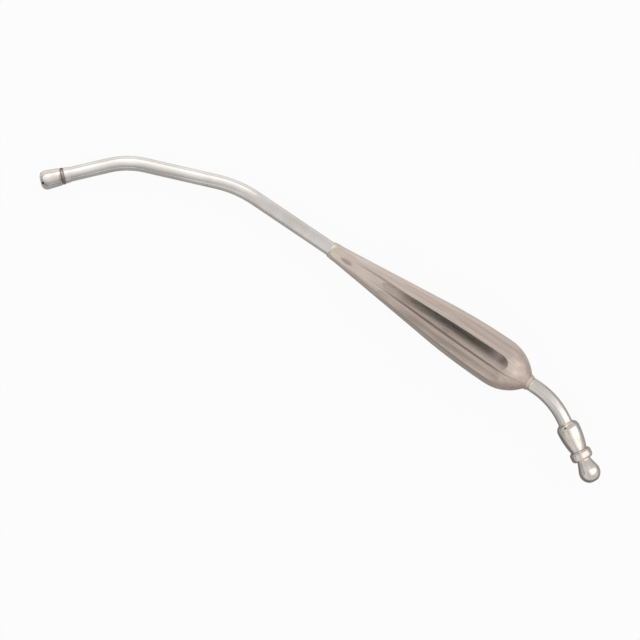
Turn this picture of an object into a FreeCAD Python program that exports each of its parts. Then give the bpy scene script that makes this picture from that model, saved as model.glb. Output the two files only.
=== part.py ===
import FreeCAD, Part
import math
import os
import Sketcher

# A metal suction tube: a bent tube with a screw-on tip, a hollow fluted handle pressed
# in two halves, and a turned connector for the hose.
# Lengths are in millimetres and angles in degrees.
# The handle's axis is the X axis, its front lip is at X = 0, and all bends lie in XY.

SIZES = {
    # one drawn tube, bent three times the same way
    "tubeRadius": 3.2,
    "tubeWall": 0.5,
    "frontRun": 20.5,
    "bendOneAngle": 26.2,
    "bendOneRadius": 35.5,
    "middleRun": 32.4,
    "bendTwoAngle": 21.0,
    "bendTwoRadius": 49.0,
    "handleRun": 42.2,
    "exitRun": 3.4,
    "bendThreeAngle": 29.7,
    "bendThreeRadius": 35.5,
    "rearRun": 2.8,
    # hollow handle, pressed in two halves
    "shellWall": 0.7,
    "neckLength": 1.6,
    "coneLength": 48.4,
    "coneRadius": 9.05,
    "swellLength": 34.5,
    "swellRise": 2.1,
    "bellyLength": 2.0,
    "shoulderRadius": 20.3,
    "rearLip": 0.45,
    "rearBlend": 1.2,
    "rearLipLength": 0.6,
    # flutes pressed into each half
    "fluteCount": 5,
    "fluteRadius": 11.0,
    "fluteLand": 1.4,
    "fluteSweep": 56.0,
    "fluteStart": 24.4,
    "fluteRunIn": 7.0,
    "fluteRunOut": 6.6,
    # ferrule brazed over the front end of the tube
    "ferruleLength": 3.8,
    "ferruleRearWall": 0.12,
    "ferruleFrontWall": 0.35,
    "flangeRise": 0.55,
    "flangeWidth": 1.2,
    "flangeRound": 0.35,
    "stopDepth": 0.6,
    "spigotWall": 0.4,
    "spigotLength": 4.0,
    "spigotChamfer": 0.3,
    # screw-on tip
    "tipLength": 9.4,
    "tipWall": 0.65,
    "noseFlare": 0.45,
    "noseRound": 2.7,
    "seamChamfer": 0.35,
    "threadClearance": 0.05,
    "socketSpare": 0.4,
    "endWall": 1.3,
    "centreHoleRadius": 1.25,
    "sideHoleRadius": 0.6,
    "sideHoleAngle": 48.0,
    "sideHoleCount": 4,
    "sideHoleTurn": -16.3,
    # turned hose connector brazed over the rear end of the tube
    "socketDepth": 5.0,
    "backWall": 0.75,
    "backRound": 2.7,
    "barbWall": 2.0,
    "barbEnd": 13.0,
    "barbFoot": 0.6,
    "ringRadius": 4.92,
    "ringWidth": 4.5,
    "ringRound": 1.5,
    "ringRise": 1.0,
    "neckWall": 1.2,
    "neckRun": 0.5,
    "bulbRadius": 4.77,
    "bulbSlope": 18.5,
    "outletRadius": 1.9,
    "boreRun": 3.0,
    "outletTaper": 0.9,
    "outletRound": 0.4,
}
OVER = 1.0  # how far a cutting form runs past the face that it cuts
NODES = []  # each body to be written, with its place on the handle


class Size:
    # a number that remembers its formula, so that a sketch can be tied to the sheet
    def __init__(self, value, text):
        self.value = value
        self.text = text

    def combine(self, other, sign, value):
        return Size(value, "(%s %s %s)" % (self.text, sign, other.text))

    def __add__(self, other):
        other = sized(other)
        return self.combine(other, "+", self.value + other.value)

    def __sub__(self, other):
        other = sized(other)
        return self.combine(other, "-", self.value - other.value)

    def __mul__(self, other):
        other = sized(other)
        return self.combine(other, "*", self.value * other.value)

    def __truediv__(self, other):
        other = sized(other)
        return self.combine(other, "/", self.value / other.value)


def sized(number):
    return number if isinstance(number, Size) else Size(float(number), repr(float(number)))


def sine(angle):
    return Size(math.sin(math.radians(angle.value)), "sin(%s)" % angle.text)


def cosine(angle):
    return Size(math.cos(math.radians(angle.value)), "cos(%s)" % angle.text)


def root(size):
    return Size(math.sqrt(size.value), "sqrt(%s)" % size.text)


class Sheet:
    # the driving sizes, kept in a spreadsheet and read back by name
    def __init__(self, doc):
        cells = doc.addObject("Spreadsheet::Sheet", "sizes")
        for row, (name, number) in enumerate(SIZES.items(), start=1):
            cells.set("A%d" % row, name)
            cells.set("B%d" % row, str(number))
            cells.setAlias("B%d" % row, name)

    def __getattr__(self, name):
        return Size(float(SIZES[name]), "sizes." + name)

    def derive(self):
        # sizes that follow from others, where pieces fit one another
        self.bore = self.tubeRadius - self.tubeWall
        self.coneEnd = self.neckLength + self.coneLength
        self.bellyAt = self.coneEnd + self.swellLength
        self.bellyRadius = self.coneRadius + self.swellRise
        self.shoulderAt = self.bellyAt + self.bellyLength
        self.fluteEnd = self.bellyAt + self.fluteRunOut
        self.flangeRadius = self.tubeRadius + self.flangeRise
        self.spigotRadius = self.bore + self.spigotWall
        self.socketRadius = self.spigotRadius + self.threadClearance
        self.tipRearRadius = self.socketRadius + self.tipWall
        self.tipNoseRadius = self.tipRearRadius + self.noseFlare
        self.neckRadius = self.outletRadius + self.neckWall


class Outline:
    # a closed chain of lines and arcs in a sketch, each corner tied to the sizes
    def __init__(self, sketch, x, y):
        self.sketch = sketch
        self.start = (sized(x), sized(y))
        self.here = self.start
        self.ends = []

    def rule(self, *parts):
        return self.sketch.addConstraint(Sketcher.Constraint(*parts))

    def pin(self, geo, end, corner):
        for kind, size, axis in (("DistanceX", corner[0], -2), ("DistanceY", corner[1], -1)):
            if abs(size.value) < 1e-9:
                self.rule("PointOnObject", geo, end, axis)
            else:
                index = self.rule(kind, -1, 1, geo, end, size.value)
                self.sketch.setExpression("Constraints[%d]" % index, size.text)

    def join(self, geo, start, end, corner):
        if self.ends:
            self.rule("Coincident", self.ends[-1][0], self.ends[-1][1], geo, start)
        self.ends.append((geo, end, start))
        self.pin(geo, end, corner)
        self.here = corner

    def line(self, x, y):
        corner = (sized(x), sized(y))
        geo = self.sketch.addGeometry(Part.LineSegment(flat(self.here), flat(corner)), False)
        self.join(geo, 1, 2, corner)

    def arc(self, x, y, level):
        # an arc that runs level at one end, so its centre is straight above or below it
        corner = (sized(x), sized(y))
        here, there = flat(self.here), flat(corner)
        flatEnd, other = (here, there) if level == "here" else (there, here)
        rise = other.y - flatEnd.y
        reach = ((other.x - flatEnd.x) ** 2 + rise ** 2) / (2 * rise)
        centre = FreeCAD.Vector(flatEnd.x, flatEnd.y + reach, 0)
        turnsLeft = (here - centre).cross(there - centre).z > 0
        low, high = (here, there) if turnsLeft else (there, here)
        spans = [math.atan2(p.y - centre.y, p.x - centre.x) for p in (low, high)]
        circle = Part.Circle(centre, FreeCAD.Vector(0, 0, 1), abs(reach))
        geo = self.sketch.addGeometry(Part.ArcOfCircle(circle, spans[0], spans[1]), False)
        start, end = (1, 2) if turnsLeft else (2, 1)
        self.join(geo, start, end, corner)
        self.rule("Vertical", geo, 3, geo, start if level == "here" else end)

    def close(self):
        self.line(self.start[0], self.start[1])
        first, last = self.ends[0], self.ends[-1]
        self.rule("Coincident", last[0], last[1], first[0], first[2])


def flat(corner):
    return FreeCAD.Vector(corner[0].value, corner[1].value, 0)


def addSketch(body, name, role):
    sketch = body.newObject("Sketcher::SketchObject", name)
    plane = [p for p in body.Origin.OriginFeatures if p.Role == role]
    sketch.AttachmentSupport = [(plane[0], "")]
    sketch.MapMode = "FlatFace"
    return sketch


def turned(body, sketch, name, angle=360.0):
    revolution = body.newObject("PartDesign::Revolution", name)
    revolution.Profile = sketch
    revolution.ReferenceAxis = (sketch, ["H_Axis"])
    revolution.Angle = angle


def tubeSpine(body, s, handleLength):
    # the tube's centreline, from its front end, with tangent bends in one plane
    sketch = addSketch(body, "TubeSpine", "XY_Plane")
    steps = [(s.frontRun, s.bendOneRadius, s.bendOneAngle),
             (s.middleRun, s.bendTwoRadius, s.bendTwoAngle),
             (s.handleRun + handleLength + s.exitRun, s.bendThreeRadius, s.bendThreeAngle),
             (s.rearRun + s.socketDepth, None, None)]
    heading = FreeCAD.Placement()
    last = -1
    for run, radius, angle in steps:
        reach = FreeCAD.Vector(run.value, 0, 0)
        geo = sketch.addGeometry(Part.LineSegment(heading.Base, heading.multVec(reach)), False)
        if last < 0:
            sketch.addConstraint(Sketcher.Constraint("Coincident", -1, 1, geo, 1))
            sketch.addConstraint(Sketcher.Constraint("Horizontal", geo))
        else:
            sketch.addConstraint(Sketcher.Constraint("Tangent", last, 2, geo, 1))
        bindLast(sketch, Sketcher.Constraint("Distance", geo, run.value), run)
        heading = heading * FreeCAD.Placement(reach, FreeCAD.Rotation())
        if radius is None:
            break
        last = sketch.addGeometry(bendArc(heading, radius.value, angle.value), False)
        sketch.addConstraint(Sketcher.Constraint("Tangent", geo, 2, last, 1))
        bindLast(sketch, Sketcher.Constraint("Radius", last, radius.value), radius)
        bindLast(sketch, Sketcher.Constraint("Angle", last, math.radians(angle.value)), angle)
        heading = heading * bendStep(radius.value, angle.value)
    return sketch, len(steps) * 2 - 1


def bindLast(sketch, constraint, size):
    index = sketch.addConstraint(constraint)
    sketch.setExpression("Constraints[%d]" % index, size.text)


def bendStep(radius, angle):
    # where a bend to the left ends, seen from where it starts
    turn = math.radians(angle)
    end = FreeCAD.Vector(radius * math.sin(turn), radius * (1 - math.cos(turn)), 0)
    return FreeCAD.Placement(end, FreeCAD.Rotation(FreeCAD.Vector(0, 0, 1), angle))


def bendArc(heading, radius, angle):
    centre = heading.multVec(FreeCAD.Vector(0, radius, 0))
    first = math.radians(heading.Rotation.getYawPitchRoll()[0]) - math.pi / 2
    circle = Part.Circle(centre, FreeCAD.Vector(0, 0, 1), radius)
    return Part.ArcOfCircle(circle, first, first + math.radians(angle))


def straight(length):
    return FreeCAD.Placement(FreeCAD.Vector(length, 0, 0), FreeCAD.Rotation())


def about(axis, angle):
    return FreeCAD.Placement(FreeCAD.Vector(), FreeCAD.Rotation(FreeCAD.Vector(*axis), angle))


def addBody(doc, label, place):
    body = doc.addObject("PartDesign::Body", label)
    body.Label = label
    NODES.append((body, place))
    return body


def suctionTube(doc, s, handleLength, place):
    # one length of drawn tube, swept along its bends with its bore
    body = addBody(doc, "suction_tube", place)
    section = addSketch(body, "TubeSection", "YZ_Plane")
    for radius in (s.tubeRadius, s.bore):
        circle = Part.Circle(FreeCAD.Vector(), FreeCAD.Vector(0, 0, 1), radius.value)
        geo = section.addGeometry(circle, False)
        section.addConstraint(Sketcher.Constraint("Coincident", geo, 3, -1, 1))
        bindLast(section, Sketcher.Constraint("Radius", geo, radius.value), radius)
    spine, edges = tubeSpine(body, s, handleLength)
    sweep = body.newObject("PartDesign::AdditivePipe", "TubeSweep")
    sweep.Profile = section
    sweep.Spine = (spine, ["Edge%d" % (n + 1) for n in range(edges)])


def arcReach(radius, fall):
    # how far an arc that starts level runs on while it falls by this much
    return root(radius * radius - (radius - fall) * (radius - fall))


def rearEnd(s):
    # the rear mouth: where the shoulder's arc turns into the blend, and where that is level
    fall = s.bellyRadius - s.tubeRadius - s.rearLip
    both = s.shoulderRadius + s.rearBlend
    reach = arcReach(both, fall)
    turn = (s.shoulderAt + reach * s.shoulderRadius / both,
            s.bellyRadius - fall * s.shoulderRadius / both)
    return turn, (s.shoulderAt + reach, s.tubeRadius + s.rearLip)


def innerRearEnd(s):
    # inside the shell, the shoulder's arc runs on down to the tube
    fall = s.bellyRadius - s.shellWall - s.tubeRadius
    return s.shoulderAt + arcReach(s.shoulderRadius - s.shellWall, fall), s.tubeRadius


def handleForm(body, s, inset, handleLength):
    # half of the handle as a pressing form: a half turn of the outline, less its flutes
    sketch = addSketch(body, "HandleOutline", "XY_Plane")
    hollow = inset.value > 0
    neck = s.tubeRadius + s.shellWall - inset
    first = 0 - OVER if hollow else 0
    outline = Outline(sketch, first, 0)
    outline.line(first, neck)
    outline.line(s.neckLength, neck)
    outline.line(s.coneEnd, s.coneRadius - inset)
    outline.arc(s.bellyAt, s.bellyRadius - inset, level="there")
    outline.line(s.shoulderAt, s.bellyRadius - inset)
    if hollow:
        outline.arc(*innerRearEnd(s), level="here")
        outline.line(handleLength + OVER, s.tubeRadius)
        outline.line(handleLength + OVER, 0)
    else:
        blend, lip = rearEnd(s)
        outline.arc(*blend, level="here")
        outline.arc(*lip, level="there")
        outline.line(handleLength, lip[1])
        outline.line(handleLength, 0)
    outline.close()
    turned(body, sketch, "HandleHalf", 180.0)
    flutes(body, s, inset, sketch)


def fluteFloor(s, radius):
    # how far from the handle's axis a flute's floor lies where the handle has this radius
    axis = s.bellyRadius + s.fluteRadius
    spread = sized(90) / s.fluteCount - s.fluteLand / 2
    hollow = root(radius * radius + axis * axis - radius * axis * 2 * cosine(spread))
    return axis - hollow


def flutes(body, s, inset, handleSketch):
    # each flute is cut by a long spindle that turns about a line beside the handle
    axis = s.bellyRadius + s.fluteRadius
    slope = (s.coneRadius - s.tubeRadius - s.shellWall) / (s.coneEnd - s.neckLength)
    mouth = s.tubeRadius + s.shellWall + slope * (s.fluteStart - s.neckLength)
    front = fluteFloor(s, s.coneRadius)
    deep = fluteFloor(s, s.bellyRadius) - inset
    half = s.fluteRunIn / 2
    rise = (front - mouth) / (s.coneEnd - s.fluteStart - half)
    sketch = addSketch(body, "FluteOutline", "XY_Plane")
    outline = Outline(sketch, s.fluteStart, axis)
    outline.line(s.fluteStart, mouth - inset)
    outline.arc(s.fluteStart + s.fluteRunIn, mouth - inset + rise * half, level="here")
    outline.line(s.coneEnd, front - inset)
    outline.arc(s.bellyAt, deep, level="there")
    outline.arc(s.fluteEnd, s.bellyRadius - inset, level="here")
    outline.line(s.fluteEnd, axis)
    outline.close()
    spin = FreeCAD.Rotation(FreeCAD.Vector(1, 0, 0), 90.0 / SIZES["fluteCount"])
    sketch.AttachmentOffset = FreeCAD.Placement(FreeCAD.Vector(), spin)
    sketch.setExpression("AttachmentOffset.Rotation.Angle", "90 / sizes.fluteCount")
    edge = "Edge%d" % len(outline.ends)
    groove = body.newObject("PartDesign::Groove", "Flute")
    groove.Profile = sketch
    groove.ReferenceAxis = (sketch, [edge])
    groove.setExpression("Angle", "sizes.fluteSweep")
    groove.Midplane = True
    pattern = body.newObject("PartDesign::PolarPattern", "Flutes")
    pattern.Originals = [groove]
    pattern.Axis = (handleSketch, ["H_Axis"])
    pattern.setExpression("Angle", "180 - 180 / sizes.fluteCount")
    pattern.setExpression("Occurrences", "sizes.fluteCount")
    body.Tip = pattern


def handleShell(doc, s, label, handleLength, place):
    # a pressed half: the outer form, less the same form set in by the wall
    core = doc.addObject("PartDesign::Body", label + "_core")
    handleForm(core, s, s.shellWall, handleLength)
    shell = addBody(doc, label, place)
    handleForm(shell, s, sized(0), handleLength)
    press = shell.newObject("PartDesign::Boolean", "Press")
    press.Type = "Cut"
    press.setObjects([core])
    shell.Tip = press


def ferrule(doc, s, place):
    # turned sleeve over the tube's end, with a flange and a spigot for the tip;
    # its own X axis points to the nose and starts at the flange's front face
    body = addBody(doc, "threaded_ferrule", place)
    sketch = addSketch(body, "FerruleOutline", "XY_Plane")
    behind = sized(0) - s.flangeWidth
    outline = Outline(sketch, sized(0) - s.ferruleLength, s.tubeRadius)
    outline.line(sized(0) - s.ferruleLength, s.tubeRadius + s.ferruleRearWall)
    outline.line(behind - s.flangeRound, s.tubeRadius + s.ferruleFrontWall)
    outline.line(behind, s.flangeRadius - s.flangeRound)
    outline.arc(behind + s.flangeRound, s.flangeRadius, level="there")
    outline.line(sized(0) - s.flangeRound, s.flangeRadius)
    outline.arc(0, s.flangeRadius - s.flangeRound, level="here")
    outline.line(0, s.spigotRadius)
    outline.line(s.spigotLength - s.spigotChamfer, s.spigotRadius)
    outline.line(s.spigotLength, s.spigotRadius - s.spigotChamfer)
    outline.line(s.spigotLength, s.bore)
    outline.line(sized(0) - s.stopDepth, s.bore)
    outline.line(sized(0) - s.stopDepth, s.tubeRadius)
    outline.close()
    turned(body, sketch, "FerruleTurned")


def screwTip(doc, s, place):
    # flared nozzle with a round nose, screwed on over the spigot
    body = addBody(doc, "suction_tip", place)
    sketch = addSketch(body, "TipOutline", "XY_Plane")
    socketEnd = s.spigotLength + s.socketSpare
    chamberEnd = s.tipLength - s.endWall
    outline = Outline(sketch, 0, s.socketRadius)
    outline.line(0, s.tipRearRadius - s.seamChamfer)
    outline.line(s.seamChamfer, s.tipRearRadius)
    outline.line(s.tipLength - s.noseRound, s.tipNoseRadius)
    outline.arc(s.tipLength, s.tipNoseRadius - s.noseRound, level="here")
    outline.line(s.tipLength, s.centreHoleRadius)
    outline.line(chamberEnd, s.centreHoleRadius)
    outline.line(chamberEnd - s.endWall, s.bore)
    outline.line(socketEnd, s.bore)
    outline.line(socketEnd, s.socketRadius)
    outline.close()
    turned(body, sketch, "TipTurned")
    sideHoles(body, s, sketch)


def sideHoles(body, s, outline):
    # small holes through the shoulder of the nose, square to its slope
    sketch = addSketch(body, "SideHole", "YZ_Plane")
    centre = (s.tipNoseRadius - s.noseRound) * cosine(s.sideHoleAngle) / sine(s.sideHoleAngle)
    start = s.tipLength - s.noseRound - centre
    tilt = FreeCAD.Rotation(FreeCAD.Vector(0, 1, 0), s.sideHoleAngle.value)
    sketch.AttachmentOffset = FreeCAD.Placement(FreeCAD.Vector(0, 0, start.value), tilt)
    sketch.setExpression("AttachmentOffset.Rotation.Angle", "sizes.sideHoleAngle")
    sketch.setExpression("AttachmentOffset.Base.z", start.text)
    circle = Part.Circle(FreeCAD.Vector(), FreeCAD.Vector(0, 0, 1), s.sideHoleRadius.value)
    geo = sketch.addGeometry(circle, False)
    sketch.addConstraint(Sketcher.Constraint("Coincident", geo, 3, -1, 1))
    bindLast(sketch, Sketcher.Constraint("Radius", geo, s.sideHoleRadius.value), s.sideHoleRadius)
    hole = body.newObject("PartDesign::Pocket", "Drill")
    hole.Profile = sketch
    hole.Type = "Length"
    hole.Reversed = True
    hole.setExpression("Length", (s.tipNoseRadius + s.noseRound).text)
    pattern = body.newObject("PartDesign::PolarPattern", "SideHoles")
    pattern.Originals = [hole]
    pattern.Axis = (outline, ["H_Axis"])
    pattern.Angle = 360.0
    pattern.setExpression("Occurrences", "sizes.sideHoleCount")
    body.Tip = pattern


def hoseConnector(doc, s, place):
    # turned barb, ring and bulb in one piece, over the tube's rear end; its bore starts as
    # wide as the tube's and narrows inside the barb to leave a wall in the neck;
    # its own X axis runs to the outlet and starts at its back face
    body = addBody(doc, "hose_connector", place)
    sketch = addSketch(body, "ConnectorOutline", "XY_Plane")
    ringEnd = s.barbEnd + s.ringWidth
    foot = ringEnd + s.neckRun
    rise = s.bulbRadius * cosine(s.bulbSlope)
    side = foot + (rise - s.neckRadius) * cosine(s.bulbSlope) / sine(s.bulbSlope)
    bulbAt = side + s.bulbRadius * sine(s.bulbSlope)
    outline = Outline(sketch, 0, s.tubeRadius)
    outline.line(0, s.tubeRadius + s.backWall)
    outline.arc(s.backRound, s.tubeRadius + s.barbWall, level="there")
    outline.arc(s.barbEnd, s.neckRadius + s.barbFoot, level="here")
    outline.line(s.barbEnd, s.ringRadius - s.ringRise)
    outline.arc(s.barbEnd + s.ringRound, s.ringRadius, level="there")
    outline.line(ringEnd - s.ringRound, s.ringRadius)
    outline.arc(ringEnd, s.ringRadius - s.ringRise, level="here")
    outline.line(ringEnd, s.neckRadius)
    outline.line(foot, s.neckRadius)
    outline.line(side, rise)
    outline.arc(bulbAt, s.bulbRadius, level="there")
    mouth = s.outletRadius + s.outletRound
    end = bulbAt + root(s.bulbRadius * s.bulbRadius - mouth * mouth)
    outline.arc(end, mouth, level="here")
    outline.line(end + s.outletRound / 2, s.outletRadius)
    boreEnd = s.socketDepth + s.boreRun
    outline.line(boreEnd + s.outletTaper, s.outletRadius)
    outline.line(boreEnd, s.bore)
    outline.line(s.socketDepth, s.bore)
    outline.line(s.socketDepth, s.tubeRadius)
    outline.close()
    turned(body, sketch, "ConnectorTurned")


def restPitch(s, tip):
    # lying flat, the part stands on two flute ridges at the belly and on the tip's nose,
    # so it leans by the slope of the line from the nose that just touches the ridges
    spread = math.radians(90.0 / SIZES["fluteCount"] - SIZES["fluteLand"] / 2)
    drop = s.bellyRadius.value - s.coneRadius.value
    reach = s.bellyAt.value - s.coneEnd.value
    curve = (reach ** 2 + drop ** 2) / (2 * drop) / math.cos(spread)
    across = s.bellyAt.value - tip.Base.x
    up = curve - s.bellyRadius.value * math.cos(spread) + s.tipNoseRadius.value
    return math.degrees(math.asin(curve / math.hypot(across, up)) - math.atan2(up, across))


def wholeBox():
    # the box of the faces themselves, not of the surfaces that they lie on
    return Part.makeCompound([body.Shape for body, _ in NODES]).optimalBoundingBox(True, False)


def checkCuts(pattern):
    # the first cut takes metal away, and each copy takes as much again
    first = pattern.Originals[0]
    whole = first.BaseFeature.Shape.Volume
    one = whole - first.Shape.Volume
    copies = (whole - pattern.Shape.Volume) / max(one, 1e-9)
    if one <= 0 or abs(copies - pattern.Occurrences) > 0.02:
        raise RuntimeError("%s takes away the wrong volume" % pattern.Label)


def checkPress(doc):
    # a pressed half is its outer form less what the core takes up in it
    for press in doc.findObjects("PartDesign::Boolean"):
        outer = press.BaseFeature.Shape
        core = press.Group[0].Shape
        left = outer.Volume - outer.common(core).Volume
        if not 0 < left < outer.Volume or abs(press.Shape.Volume - left) > 0.001 * left:
            raise RuntimeError("%s leaves the wrong volume" % press.Label)


def check(doc):
    for thing in doc.Objects:
        if "Invalid" in thing.State or "Error" in thing.State:
            raise RuntimeError("%s failed: %s" % (thing.Name, thing.State))
    for pattern in doc.findObjects("PartDesign::PolarPattern"):
        checkCuts(pattern)
    checkPress(doc)
    for body, _ in NODES:
        if body.Shape.isNull() or not body.Shape.isValid() or len(body.Shape.Solids) != 1:
            raise RuntimeError("%s is not one valid solid" % body.Label)


def main():
    doc = FreeCAD.newDocument("suction_tube")
    s = Sheet(doc)
    s.derive()
    handleLength = rearEnd(s)[1][0] + s.rearLipLength

    lip = straight(s.frontRun.value) * bendStep(s.bendOneRadius.value, s.bendOneAngle.value)
    lip = lip * straight(s.middleRun.value)
    lip = lip * bendStep(s.bendTwoRadius.value, s.bendTwoAngle.value)
    lip = lip * straight(s.handleRun.value)
    tubeStart = lip.inverse()
    tubeEnd = straight((handleLength + s.exitRun).value)
    tubeEnd = tubeEnd * bendStep(s.bendThreeRadius.value, s.bendThreeAngle.value)
    tubeEnd = tubeEnd * straight(s.rearRun.value)
    seam = tubeStart * straight(0 - s.stopDepth.value) * about((0, 0, 1), 180)

    suctionTube(doc, s, handleLength, tubeStart)
    ferrule(doc, s, seam)
    screwTip(doc, s, seam * about((1, 0, 0), s.sideHoleTurn.value))
    handleShell(doc, s, "handle_shell_upper", handleLength, about((1, 0, 0), 180))
    handleShell(doc, s, "handle_shell_lower", handleLength, FreeCAD.Placement())
    hoseConnector(doc, s, tubeEnd)
    doc.recompute()

    widest = seam * straight(s.tipLength.value - s.noseRound.value)
    lie = about((1, 0, 0), 180) * about((0, 1, 0), restPitch(s, widest))
    for body, place in NODES:
        body.Placement = lie * place
    doc.recompute()
    box = wholeBox()
    settle = FreeCAD.Placement(FreeCAD.Vector(-box.Center.x, -box.Center.y, -box.ZMin),
                               FreeCAD.Rotation())
    for body, place in NODES:
        body.Placement = settle * lie * place
    doc.recompute()
    check(doc)
    os.makedirs("parts", exist_ok=True)
    for body, _ in NODES:
        body.Shape.exportStep("parts/%s.step" % body.Label)
        print(body.Label, round(body.Shape.Volume, 1), len(body.Shape.Faces))
    box = wholeBox()
    print("box", [round(n, 2) for n in (box.XMin, box.YMin, box.ZMin, box.XMax, box.YMax, box.ZMax)])


main()
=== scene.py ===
import bpy
import math
from mathutils import Matrix, Vector


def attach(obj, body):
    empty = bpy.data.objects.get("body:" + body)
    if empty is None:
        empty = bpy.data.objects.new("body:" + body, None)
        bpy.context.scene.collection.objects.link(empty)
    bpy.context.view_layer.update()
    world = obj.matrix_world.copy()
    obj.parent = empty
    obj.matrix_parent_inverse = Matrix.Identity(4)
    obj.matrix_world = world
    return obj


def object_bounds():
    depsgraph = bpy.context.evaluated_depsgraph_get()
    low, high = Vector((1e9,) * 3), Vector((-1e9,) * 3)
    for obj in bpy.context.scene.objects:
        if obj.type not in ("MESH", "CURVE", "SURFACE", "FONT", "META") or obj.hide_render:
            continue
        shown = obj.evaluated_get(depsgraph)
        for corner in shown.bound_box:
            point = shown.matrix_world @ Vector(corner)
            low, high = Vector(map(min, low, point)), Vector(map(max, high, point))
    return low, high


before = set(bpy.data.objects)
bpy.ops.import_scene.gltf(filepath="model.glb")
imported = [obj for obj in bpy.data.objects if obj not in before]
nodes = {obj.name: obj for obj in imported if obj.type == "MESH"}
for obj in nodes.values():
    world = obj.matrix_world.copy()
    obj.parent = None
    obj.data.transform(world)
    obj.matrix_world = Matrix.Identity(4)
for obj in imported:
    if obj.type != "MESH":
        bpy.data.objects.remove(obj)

cadLow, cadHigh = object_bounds()
mm = 0.001
up = Vector((0, 0, 1))

# camera: a long lens, almost straight above the tube
camera = {
    "aim": Vector((-1.97, -10.02, 9.0)),
    "turn": 33.99,  # degrees from the X axis to the picture's right, on the floor
    "lean": 5.0,  # degrees from straight above, towards the tip
    "distance": 1500.0,
    "mmPerPixel": 0.4386,  # at the aim
    "pixels": 640,
    "sensor": 36.0,
    "clip": (0.05, 20.0),  # metres
}
imageTurn = math.radians(camera["turn"])
imageUp = Vector((-math.sin(imageTurn), math.cos(imageTurn), 0))


def addCamera():
    lean = math.radians(camera["lean"])
    back = Vector((-math.sin(lean), 0, math.cos(lean)))
    top = (imageUp - back * imageUp.dot(back)).normalized()
    turn = Matrix((top.cross(back), top, back)).transposed()
    place = (camera["aim"] + back * camera["distance"]) * mm
    bpy.ops.object.camera_add(location=place, rotation=turn.to_euler())
    cam = bpy.context.object
    cam.data.sensor_width = camera["sensor"]
    viewWidth = camera["pixels"] * camera["mmPerPixel"]
    cam.data.lens = camera["sensor"] * camera["distance"] / viewWidth
    cam.data.clip_start, cam.data.clip_end = camera["clip"]
    bpy.context.scene.camera = cam


addCamera()
print("camera placed")

# the pieces' own axes as the solids have them, in millimetres: where each starts and the way it runs
axes = {
    "handle": (Vector((-13.091, 18.444, 8.117)), Vector((0.9995, 0, 0.03164))),
    "tip": (Vector((-130.701, -20.925, 4.394)), Vector((-0.6791, -0.73373, -0.0215))),
    "connector": (Vector((113.684, 12.393, 12.131)), Vector((0.8682, -0.49546, 0.02749))),
}

# the middle of a noise's range, where most of it lies: for clouds of colour and for fine grain
cloudRange = (0.35, 0.65)
grainRange = (0.3, 0.7)
markCore = 0.4  # how far in from its edge, as a share of its size, a mark is full


def linear(code):
    # sRGB hex to the linear colour that a shader takes
    parts = [int(code[i:i + 2], 16) / 255 for i in (1, 3, 5)]
    return [p / 12.92 if p <= 0.04045 else ((p + 0.055) / 1.055) ** 2.4 for p in parts] + [1.0]


def addNode(tree, kind, inputs=None, **settings):
    # one node with its settings; an input is a value or another node's output
    node = tree.nodes.new(kind)
    for name, value in settings.items():
        setattr(node, name, value)
    for name, value in (inputs or {}).items():
        if isinstance(value, bpy.types.NodeSocket):
            tree.links.new(value, node.inputs[name])
        else:
            node.inputs[name].default_value = value
    return node


def newMaterial(name):
    material = bpy.data.materials.new(name)
    material.use_nodes = True
    material.node_tree.nodes.clear()
    return material, material.node_tree


def ownPlace(tree, axisName):
    # millimetres along and across a piece's own axis
    start, along = axes[axisName]
    place = addNode(tree, "ShaderNodeTexCoord").outputs["Object"]
    turn = along.to_track_quat("X", "Z").to_euler()
    mapping = addNode(tree, "ShaderNodeMapping", {"Vector": place, "Location": start * mm,
                      "Rotation": turn, "Scale": (mm, mm, mm)}, vector_type="TEXTURE")
    return mapping.outputs[0]


def markedColour(tree, place, colour, mark):
    # blends in a mark: full in the middle of an ellipsoid, gone at its edge, turned about the axis
    turned = addNode(tree, "ShaderNodeMapping", {"Vector": place,
                     "Rotation": (math.radians(mark.get("turn", 0)), 0, 0)})
    fitted = addNode(tree, "ShaderNodeMapping", {"Vector": turned.outputs[0], "Location": mark["at"],
                     "Scale": mark["size"]}, vector_type="TEXTURE")
    inside = addNode(tree, "ShaderNodeTexGradient", {"Vector": fitted.outputs[0]},
                     gradient_type="SPHERICAL")
    share = addNode(tree, "ShaderNodeMapRange", {0: inside.outputs["Fac"], 1: 0.0, 2: markCore,
                    4: mark["depth"]})
    return addNode(tree, "ShaderNodeMix", {0: share.outputs[0], 6: colour,
                   7: linear(mark["colour"])}, data_type="RGBA").outputs[2]


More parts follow.
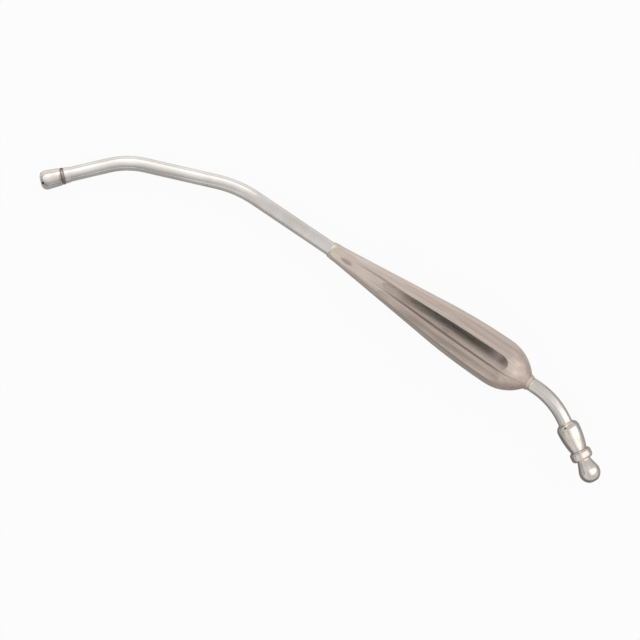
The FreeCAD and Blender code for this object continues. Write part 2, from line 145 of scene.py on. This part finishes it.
# handle: stainless sheet, pressed and satin polished lengthwise, so it blurs what it mirrors
handleFinish = {
    "colour": "#F1E2D7",
    # the dull colour gives the random streaks and also the painted shade towards the rear
    "dull": "#D2C1B5",
    "streakMm": 1.3,
    "streakShare": 0.5,
    "paintedShadeFrom": (10.0, 60.0),  # painted shade: the colour darkens from the front towards the rear
    "paintedShadeShare": 0.5,
    "roughness": (0.26, 0.35),
    "grainMm": 0.35,  # polishing lines, drawn coarser than the real ones so that they show
    "grainStretch": 0.02,
    "bump": 0.05,
    "bumpMm": 0.05,
    # weld where the two halves meet, ground flush
    "weld": "#B9A999",
    "weldEdge": (0.3, 0.1),  # where it starts to show and where it shows most, from its middle
    "weldDepth": 0.7,
    # the polishing wheel doesn't reach the flutes' rear ends
    "rearFrom": (86.0, 92.0),
    "rearRough": 0.2,
}
handleMarks = [
    # a brown mark on top just behind the front lip
    {"colour": "#94745F", "at": (6.2, -0.9, 4.4), "size": (3.6, 1.1, 1.5), "depth": 0.5},
    # painted shade along two creases
    {"colour": "#5E4736", "at": (60.0, 0, 0), "size": (44.0, 0.7, 60.0), "turn": -18.0,
     "depth": 0.6},
    {"colour": "#8F7A69", "at": (22.0, 0, 0), "size": (14.0, 0.5, 60.0), "turn": 16.0,
     "depth": 0.45},
]


def handleMetal():
    look = handleFinish
    material, tree = newMaterial("satin polished stainless sheet")
    place = ownPlace(tree, "handle")
    parts = addNode(tree, "ShaderNodeSeparateXYZ", {0: place}).outputs

    stretched = addNode(tree, "ShaderNodeMapping", {"Vector": place,
                        "Scale": (look["grainStretch"], 1, 1)})
    streak = addNode(tree, "ShaderNodeTexNoise", {"Vector": stretched.outputs[0],
                     "Scale": 1 / look["streakMm"], "Detail": 2.0})
    streaky = addNode(tree, "ShaderNodeMapRange", {0: streak.outputs["Fac"], 1: cloudRange[0],
                      2: cloudRange[1], 4: look["streakShare"]})
    # painted shade: towards the rear the colour is mixed further towards the dull one
    paintedRearShade = addNode(tree, "ShaderNodeMapRange", {0: parts["X"], 1: look["paintedShadeFrom"][0],
                       2: look["paintedShadeFrom"][1], 4: look["paintedShadeShare"]})
    streaksAndPaintedShade = addNode(tree, "ShaderNodeMath", {0: streaky.outputs[0], 1: paintedRearShade.outputs[0]},
                     operation="ADD")
    colour = addNode(tree, "ShaderNodeMix", {0: streaksAndPaintedShade.outputs[0], 6: linear(look["colour"]),
                     7: linear(look["dull"])}, data_type="RGBA").outputs[2]
    for mark in handleMarks:
        colour = markedColour(tree, place, colour, mark)

    offWeld = addNode(tree, "ShaderNodeMath", {0: parts["Z"]}, operation="ABSOLUTE")
    welded = addNode(tree, "ShaderNodeMapRange", {0: offWeld.outputs[0], 1: look["weldEdge"][0],
                     2: look["weldEdge"][1], 4: look["weldDepth"]})
    colour = addNode(tree, "ShaderNodeMix", {0: welded.outputs[0], 6: colour,
                     7: linear(look["weld"])}, data_type="RGBA").outputs[2]

    grain = addNode(tree, "ShaderNodeTexNoise", {"Vector": stretched.outputs[0],
                    "Scale": 1 / look["grainMm"], "Detail": 3.0, "Roughness": 0.6})
    rough = addNode(tree, "ShaderNodeMapRange", {0: grain.outputs["Fac"], 1: grainRange[0],
                    2: grainRange[1], 3: look["roughness"][0], 4: look["roughness"][1]})
    rear = addNode(tree, "ShaderNodeMapRange", {0: parts["X"], 1: look["rearFrom"][0],
                   2: look["rearFrom"][1], 4: look["rearRough"]}, interpolation_type="SMOOTHSTEP")
    rough = addNode(tree, "ShaderNodeMath", {0: rough.outputs[0], 1: rear.outputs[0]},
                    operation="ADD")
    bump = addNode(tree, "ShaderNodeBump", {"Height": grain.outputs["Fac"],
                   "Strength": look["bump"], "Distance": look["bumpMm"] * mm})
    shader = addNode(tree, "ShaderNodeBsdfPrincipled", {"Base Color": colour, "Metallic": 1.0,
                     "Roughness": rough.outputs[0], "Normal": bump.outputs[0]})
    addNode(tree, "ShaderNodeOutputMaterial", {"Surface": shader.outputs[0]})
    return material


# tube: drawn stainless tube, buffed almost bright, so its highlights are long with soft edges
tubeFinish = {
    "colour": "#F1ECE8",
    "dull": "#E5DED8",
    "hazeMm": 9.0,
    "roughness": (0.17, 0.25),
    "fineMm": 0.6,
    "bump": 0.05,
    "bumpMm": 0.05,
}


def tubeMetal():
    look = tubeFinish
    material, tree = newMaterial("buffed drawn stainless tube")
    place = ownPlace(tree, "handle")
    haze = addNode(tree, "ShaderNodeTexNoise", {"Vector": place, "Scale": 1 / look["hazeMm"],
                   "Detail": 3.0, "Roughness": 0.55})
    hazy = addNode(tree, "ShaderNodeMapRange", {0: haze.outputs["Fac"], 1: cloudRange[0],
                   2: cloudRange[1]})
    colour = addNode(tree, "ShaderNodeMix", {0: hazy.outputs[0], 6: linear(look["colour"]),
                     7: linear(look["dull"])}, data_type="RGBA").outputs[2]
    rough = addNode(tree, "ShaderNodeMapRange", {0: haze.outputs["Fac"], 1: grainRange[0],
                    2: grainRange[1], 3: look["roughness"][0], 4: look["roughness"][1]})
    fine = addNode(tree, "ShaderNodeTexNoise", {"Vector": place, "Scale": 1 / look["fineMm"],
                   "Detail": 2.0})
    bump = addNode(tree, "ShaderNodeBump", {"Height": fine.outputs["Fac"],
                   "Strength": look["bump"], "Distance": look["bumpMm"] * mm})
    shader = addNode(tree, "ShaderNodeBsdfPrincipled", {"Base Color": colour, "Metallic": 1.0,
                     "Roughness": rough.outputs[0], "Normal": bump.outputs[0]})
    addNode(tree, "ShaderNodeOutputMaterial", {"Surface": shader.outputs[0]})
    return material


# turned pieces: stainless bar off the lathe, buffed bright, with faint rings left by the tool
turnedFinishes = {
    "connector": {"name": "buffed turned stainless connector", "axis": "connector",
                  "colour": "#EFE8E1", "dull": "#DFD3C7", "roughness": (0.15, 0.23), "ringMm": 0.3,
                  "marks": []},
    "tip": {"name": "buffed turned stainless tip", "axis": "tip",
            "colour": "#F1ECE8", "dull": "#E3DAD3", "roughness": (0.15, 0.23), "ringMm": 0.25,
            "marks": [
                # painted shade: a brownish patch next to the seam groove
                {"colour": "#A88F7A", "at": (0.3, 0.6, 3), "size": (1.1, 2.4, 3), "depth": 0.6},
            ]},
    "ferrule": {"name": "heat tinted stainless ferrule with painted seam shade", "axis": "tip",
                "colour": "#F1ECE8", "dull": "#E3DAD3", "roughness": (0.17, 0.25), "ringMm": 0.2,
                "marks": [
                    # brown heat tint on the flange, deepened by painted shade of the seam groove
                    {"colour": "#8E7B6B", "at": (-0.55, 0, 0), "size": (1.1, 12, 12), "depth": 0.8},
                    # painted shadow where the ring's edge stands proud on one side
                    {"colour": "#4A4039", "at": (-0.5, -3.7, 0.6), "size": (1.5, 2.0, 2.4),
                     "depth": 0.9},
                ]},
    "braze": {"name": "silver brazing alloy", "axis": "handle",
              "colour": "#F3E9DA", "dull": "#E0D1BC", "roughness": (0.25, 0.33), "ringMm": 0.6,
              "marks": []},
}
turnedCloudMm = 4.0
turnedBump = 0.08
turnedBumpMm = 0.04


def turnedMetal(look):
    material, tree = newMaterial(look["name"])
    place = ownPlace(tree, look["axis"])
    cloud = addNode(tree, "ShaderNodeTexNoise", {"Vector": place, "Scale": 1 / turnedCloudMm,
                    "Detail": 2.0})
    cloudy = addNode(tree, "ShaderNodeMapRange", {0: cloud.outputs["Fac"], 1: cloudRange[0],
                     2: cloudRange[1]})
    colour = addNode(tree, "ShaderNodeMix", {0: cloudy.outputs[0], 6: linear(look["colour"]),
                     7: linear(look["dull"])}, data_type="RGBA").outputs[2]
    for mark in look["marks"]:
        colour = markedColour(tree, place, colour, mark)
    along = addNode(tree, "ShaderNodeSeparateXYZ", {0: place}).outputs["X"]
    rings = addNode(tree, "ShaderNodeTexNoise", {"W": along, "Scale": 1 / look["ringMm"],
                    "Detail": 2.0}, noise_dimensions="1D")
    rough = addNode(tree, "ShaderNodeMapRange", {0: rings.outputs["Fac"], 1: grainRange[0],
                    2: grainRange[1], 3: look["roughness"][0], 4: look["roughness"][1]})
    bump = addNode(tree, "ShaderNodeBump", {"Height": rings.outputs["Fac"],
                   "Strength": turnedBump, "Distance": turnedBumpMm * mm})
    shader = addNode(tree, "ShaderNodeBsdfPrincipled", {"Base Color": colour, "Metallic": 1.0,
                     "Roughness": rough.outputs[0], "Normal": bump.outputs[0]})
    addNode(tree, "ShaderNodeOutputMaterial", {"Surface": shader.outputs[0]})
    return material


def dress(nodeName, material):
    mesh = nodes[nodeName].data
    mesh.materials.clear()
    mesh.materials.append(material)


satinSheet = handleMetal()
dress("handle_shell_upper", satinSheet)
dress("handle_shell_lower", satinSheet)
dress("suction_tube", tubeMetal())
dress("suction_tip", turnedMetal(turnedFinishes["tip"]))
dress("threaded_ferrule", turnedMetal(turnedFinishes["ferrule"]))
dress("hose_connector", turnedMetal(turnedFinishes["connector"]))
print("metals assigned")

# fillets of brazing alloy round the tube, with a section of places along an axis and radii, in
# millimetres; the brazed metal is paler and duller than the steel
tubeRadius = 3.2
filletSteps = 64
filletSmooth = 50.0  # degrees; sharper edges than this stay sharp
fillets = {
    "front_braze": {"axis": "handle", "section": [
        (0, tubeRadius), (0, 3.87), (-1.9, 3.62), (-2.3, 3.45), (-2.5, tubeRadius)]},
    "rear_braze": {"axis": "handle", "section": [
        (103.42, tubeRadius), (103.42, 3.6), (103.7, 3.32), (104.0, tubeRadius)]},
    "connector_braze": {"axis": "connector", "section": [
        (0, tubeRadius), (0, 3.75), (-0.3, 3.42), (-0.7, tubeRadius)]},
}


def addFillet(name, look, material):
    # a circle, extruded and scaled through its section, and closed on the inside
    start, along = axes[look["axis"]]
    lastPlace, lastRadius = look["section"][0]
    bpy.ops.object.select_all(action="DESELECT")
    bpy.ops.mesh.primitive_circle_add(vertices=filletSteps, radius=lastRadius * mm,
                                      location=(0, 0, lastPlace * mm))
    piece = bpy.context.object
    bpy.ops.object.transform_apply(location=True)
    bpy.ops.object.mode_set(mode="EDIT")
    bpy.ops.mesh.select_mode(type="EDGE")
    bpy.ops.mesh.select_all(action="SELECT")
    for place, radius in look["section"][1:]:
        step = (0, 0, (place - lastPlace) * mm)
        bpy.ops.mesh.extrude_edges_move(TRANSFORM_OT_translate={"value": step})
        bpy.ops.transform.resize(value=(radius / lastRadius, radius / lastRadius, 1),
                                 center_override=(0, 0, place * mm))
        lastPlace, lastRadius = place, radius
    bpy.ops.mesh.select_all(action="DESELECT")
    bpy.ops.mesh.select_non_manifold()
    bpy.ops.mesh.bridge_edge_loops()
    bpy.ops.mesh.select_all(action="SELECT")
    bpy.ops.mesh.normals_make_consistent(inside=False)
    bpy.ops.object.mode_set(mode="OBJECT")
    piece.name = name
    piece.rotation_euler = along.to_track_quat("Z", "Y").to_euler()
    piece.location = start * mm
    bpy.ops.object.transform_apply(location=True, rotation=True, scale=True)
    bpy.ops.object.shade_smooth_by_angle(angle=math.radians(filletSmooth))
    piece.data.materials.append(material)
    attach(piece, "root")


brazeAlloy = turnedMetal(turnedFinishes["braze"])
for name, look in fillets.items():
    addFillet(name, look, brazeAlloy)
print("fillets brazed")

# floor: matt white board that is plain white to the camera and in a mirror, with a faint shadow
floorLook = {"size": 8000.0, "colour": "#F4F4F4", "ownWhite": 0.93}


def addFloor():
    bpy.ops.object.select_all(action="DESELECT")
    bpy.ops.mesh.primitive_plane_add(size=floorLook["size"] * mm, location=(0, 0, 0))
    floor = bpy.context.object
    floor.name = "floor"
    material, tree = newMaterial("matt white board")
    board = addNode(tree, "ShaderNodeBsdfDiffuse", {"Color": linear(floorLook["colour"])})
    white = addNode(tree, "ShaderNodeEmission", {"Color": linear("#FFFFFF"), "Strength": 1.0})
    path = addNode(tree, "ShaderNodeLightPath").outputs
    seen = addNode(tree, "ShaderNodeMath", {0: path["Is Camera Ray"], 1: path["Is Glossy Ray"]},
                   operation="MAXIMUM")
    seen = addNode(tree, "ShaderNodeMath", {0: seen.outputs[0], 1: path["Is Transmission Ray"]},
                   operation="MAXIMUM")
    share = addNode(tree, "ShaderNodeMath", {0: seen.outputs[0], 1: floorLook["ownWhite"]},
                    operation="MULTIPLY")
    mix = addNode(tree, "ShaderNodeMixShader", {0: share.outputs[0], 1: board.outputs[0],
                  2: white.outputs[0]})
    addNode(tree, "ShaderNodeOutputMaterial", {"Surface": mix.outputs[0]})
    floor.data.materials.append(material)


addFloor()
print("floor laid")

# light: an even soft room, a little dimmer towards the top of the picture, where two softboxes are
room = {"low": 0.72, "high": 0.66, "span": (-0.8, 0.8)}
softboxes = {
    "frontSoftbox": {"target": (-105, 0, 5), "way": (-0.60, 0.80), "distance": 260.0,
                     "fromTop": 58.0, "size": (190.0, 150.0), "level": 0.4},
    "rearSoftbox": {"target": (122, 8, 12), "way": (0.495, 0.868), "distance": 180.0,
                    "fromTop": 55.0, "size": (90.0, 120.0), "level": 0.4},
}


def addRoom():
    world = bpy.data.worlds.new("room")
    bpy.context.scene.world = world
    world.use_nodes = True
    tree = world.node_tree
    tree.nodes.clear()
    way = addNode(tree, "ShaderNodeTexCoord").outputs["Generated"]
    side = addNode(tree, "ShaderNodeVectorMath", {0: way, 1: imageUp}, operation="DOT_PRODUCT")
    level = addNode(tree, "ShaderNodeMapRange", {0: side.outputs["Value"], 1: room["span"][0],
                    2: room["span"][1], 3: room["low"], 4: room["high"]},
                    interpolation_type="SMOOTHSTEP").outputs[0]
    grey = addNode(tree, "ShaderNodeCombineColor", {0: level, 1: level, 2: level})
    back = addNode(tree, "ShaderNodeBackground", {"Color": grey.outputs[0], "Strength": 1.0})
    addNode(tree, "ShaderNodeOutputWorld", {"Surface": back.outputs[0]})


def addSoftbox(name, look):
    # a lamp that faces its target; its power follows from its size and how bright it looks
    fromTop = math.radians(look["fromTop"])
    side = Vector((look["way"][0], look["way"][1], 0)).normalized()
    away = side * math.sin(fromTop) + up * math.cos(fromTop)
    place = (Vector(look["target"]) + away * look["distance"]) * mm
    turn = away.to_track_quat("Z", "Y").to_euler()
    bpy.ops.object.light_add(type="AREA", location=place, rotation=turn)
    lamp = bpy.context.object
    lamp.name = name
    lamp.data.shape = "RECTANGLE"
    lamp.data.size, lamp.data.size_y = (edge * mm for edge in look["size"])
    lamp.data.energy = look["level"] * math.pi * lamp.data.size * lamp.data.size_y


addRoom()
for name, look in softboxes.items():
    addSoftbox(name, look)
print("room lit")

# cards that only the metal mirrors, in millimetres; each lies level with its edges measured from
# its middle, and glows from one level to another across a span along a way on the floor
glowCards = {
    # a dark one and a dim one above the handle
    "darkFlag": {"middle": (0, 18.4, 55), "turn": 0, "along": (13, 74.5), "aside": (-26.6, 4.5),
                 "way": (0, 1, 0), "span": (-30, 10), "levels": (0.03, 0.03)},
    "dimFlag": {"middle": (0, 18.4, 55), "turn": 0, "along": (8, 84), "aside": (-161, -60),
                "way": (0, 1, 0), "span": (-160, -60), "levels": (0.36, 0.32)},
    # a low one on the near side, which the tube's lower edge mirrors
    "lowFlag": {"middle": (-80, 6.5, 20), "turn": 0, "along": (-250, 600), "aside": (-600, -50),
                "way": (0, 1, 0), "span": (-600, -50), "levels": (0.3, 0.3)},
    # silks that shade from dim to bright over the front of the tube and over the connector
    "frontSilk": {"middle": (-95, 6.5, 60), "turn": 0, "along": (-170, 37), "aside": (-600, 210),
                  "way": imageUp, "span": (-80, 90), "levels": (0.34, 1.34)},
    "rearSilk": {"middle": (126, 5, 72), "turn": -29.7, "along": (-22, 50), "aside": (-30, 240),
                 "way": (0.495, 0.868, 0), "span": (-36, 24), "levels": (0.46, 1.4)},
}


def addCard(name, place, size, turn, material):
    bpy.ops.object.select_all(action="DESELECT")
    bpy.ops.mesh.primitive_plane_add(size=1, location=place * mm, rotation=(0, 0, turn))
    card = bpy.context.object
    card.name = name
    card.scale = (size[0] * mm, size[1] * mm, 1)
    bpy.ops.object.transform_apply(location=True, rotation=True, scale=True)
    card.data.materials.append(material)
    card.visible_camera = False
    card.visible_diffuse = False
    card.visible_shadow = False
    card.visible_transmission = False


def addGlowCard(name, look):
    material, tree = newMaterial(name + " cloth")
    middle = Vector(look["middle"])
    place = addNode(tree, "ShaderNodeTexCoord").outputs["Object"]
    off = addNode(tree, "ShaderNodeVectorMath", {0: place, 1: middle * mm}, operation="SUBTRACT")
    reach = addNode(tree, "ShaderNodeVectorMath", {0: off.outputs[0], 1: look["way"]},
                    operation="DOT_PRODUCT")
    level = addNode(tree, "ShaderNodeMapRange", {0: reach.outputs["Value"],
                    1: look["span"][0] * mm, 2: look["span"][1] * mm,
                    3: look["levels"][0], 4: look["levels"][1]}, interpolation_type="SMOOTHSTEP")
    glow = addNode(tree, "ShaderNodeEmission", {"Color": linear("#FFFFFF"),
                   "Strength": level.outputs[0]})
    addNode(tree, "ShaderNodeOutputMaterial", {"Surface": glow.outputs[0]})

    turn = math.radians(look["turn"])
    low, high = look["along"]
    near, far = look["aside"]
    centre = Vector(((low + high) / 2, (near + far) / 2, 0))
    place = middle + Matrix.Rotation(turn, 3, "Z") @ centre
    addCard(name, place, (high - low, far - near), turn, material)


for name, look in glowCards.items():
    addGlowCard(name, look)

# a glowing card just above the floor that only the metal mirrors: light on the far side of a line
# that follows the tube, and dim on the near side
underCard = {
    "margin": 300.0,  # how far it reaches past the tube all round
    "lift": 0.05,
    "near": 0.4,
    "far": (0.95, 0.74),  # by the front runs and by the rest
    "farFrom": (-70, -40),
    "edge": 12.0,  # half the width of the change from near to far
    # the line's Y at the front, and how much it moves between two places along X
    "routeStart": -29.0,
    "routeSteps": [(-137, -104, 32.0), (-104, -58, 15.4), (98, 139, -20.0)],
    # under the rear bend and the connector it is dimmer all over
    "rearFrom": (90, 104),
    "rearLevel": 0.55,
    # painted contact shadow: it darkens close to the tube
    "contact": 14.0,
    "contactRange": (0.45, 0.95),
    "contactLevel": 0.2,
    "contactSamples": 8,
    # but not on the handle's far side
    "bareAlong": (-18, -6),
    "bareFrom": (17.0, 26.0),
}


def addUnderCard():
    look = underCard
    material, tree = newMaterial("glowing under-card with painted contact shadow")
    place = addNode(tree, "ShaderNodeTexCoord").outputs["Object"]
    parts = addNode(tree, "ShaderNodeSeparateXYZ", {0: place}).outputs
    side = addNode(tree, "ShaderNodeMath", {0: parts["Y"], 1: look["routeStart"] * mm},
                   operation="SUBTRACT")
    for low, high, change in look["routeSteps"]:
        step = addNode(tree, "ShaderNodeMapRange", {0: parts["X"], 1: low * mm, 2: high * mm,
                       4: change * mm})
        side = addNode(tree, "ShaderNodeMath", {0: side.outputs[0], 1: step.outputs[0]},
                       operation="SUBTRACT")
    farLevel = addNode(tree, "ShaderNodeMapRange", {0: parts["X"], 1: look["farFrom"][0] * mm,
                       2: look["farFrom"][1] * mm, 3: look["far"][0], 4: look["far"][1]})
    level = addNode(tree, "ShaderNodeMapRange", {0: side.outputs[0], 1: -look["edge"] * mm,
                    2: look["edge"] * mm, 3: look["near"], 4: farLevel.outputs[0]})

    close = addNode(tree, "ShaderNodeAmbientOcclusion", {"Distance": look["contact"] * mm},
                    samples=look["contactSamples"])
    shade = addNode(tree, "ShaderNodeMapRange", {0: close.outputs["AO"],
                    1: look["contactRange"][0], 2: look["contactRange"][1],
                    3: look["contactLevel"], 4: 1.0})
    handleOnly = addNode(tree, "ShaderNodeMapRange", {0: parts["X"], 1: look["bareAlong"][0] * mm,
                         2: look["bareAlong"][1] * mm})
    bare = addNode(tree, "ShaderNodeMapRange", {0: parts["Y"], 1: look["bareFrom"][0] * mm,
                   2: look["bareFrom"][1] * mm, 4: handleOnly.outputs[0]})
    shade = addNode(tree, "ShaderNodeMath", {0: shade.outputs[0], 1: bare.outputs[0]},
                    operation="MAXIMUM")
    rear = addNode(tree, "ShaderNodeMapRange", {0: parts["X"], 1: look["rearFrom"][0] * mm,
                   2: look["rearFrom"][1] * mm, 3: 1.0, 4: look["rearLevel"]})
    strength = addNode(tree, "ShaderNodeMath", {0: level.outputs[0], 1: shade.outputs[0]},
                       operation="MULTIPLY")
    strength = addNode(tree, "ShaderNodeMath", {0: strength.outputs[0], 1: rear.outputs[0]},
                       operation="MULTIPLY")
    glow = addNode(tree, "ShaderNodeEmission", {"Color": linear("#FFFFFF"),
                   "Strength": strength.outputs[0]})
    addNode(tree, "ShaderNodeOutputMaterial", {"Surface": glow.outputs[0]})

    size = (cadHigh - cadLow) / mm + Vector((2, 2, 0)) * look["margin"]
    middle = (cadHigh + cadLow) / mm / 2
    place = Vector((middle.x, middle.y, look["lift"]))
    addCard("underCard", place, (size.x, size.y), 0, material)


addUnderCard()
print("cards hung")

bpy.context.scene.view_settings.view_transform = "Standard"
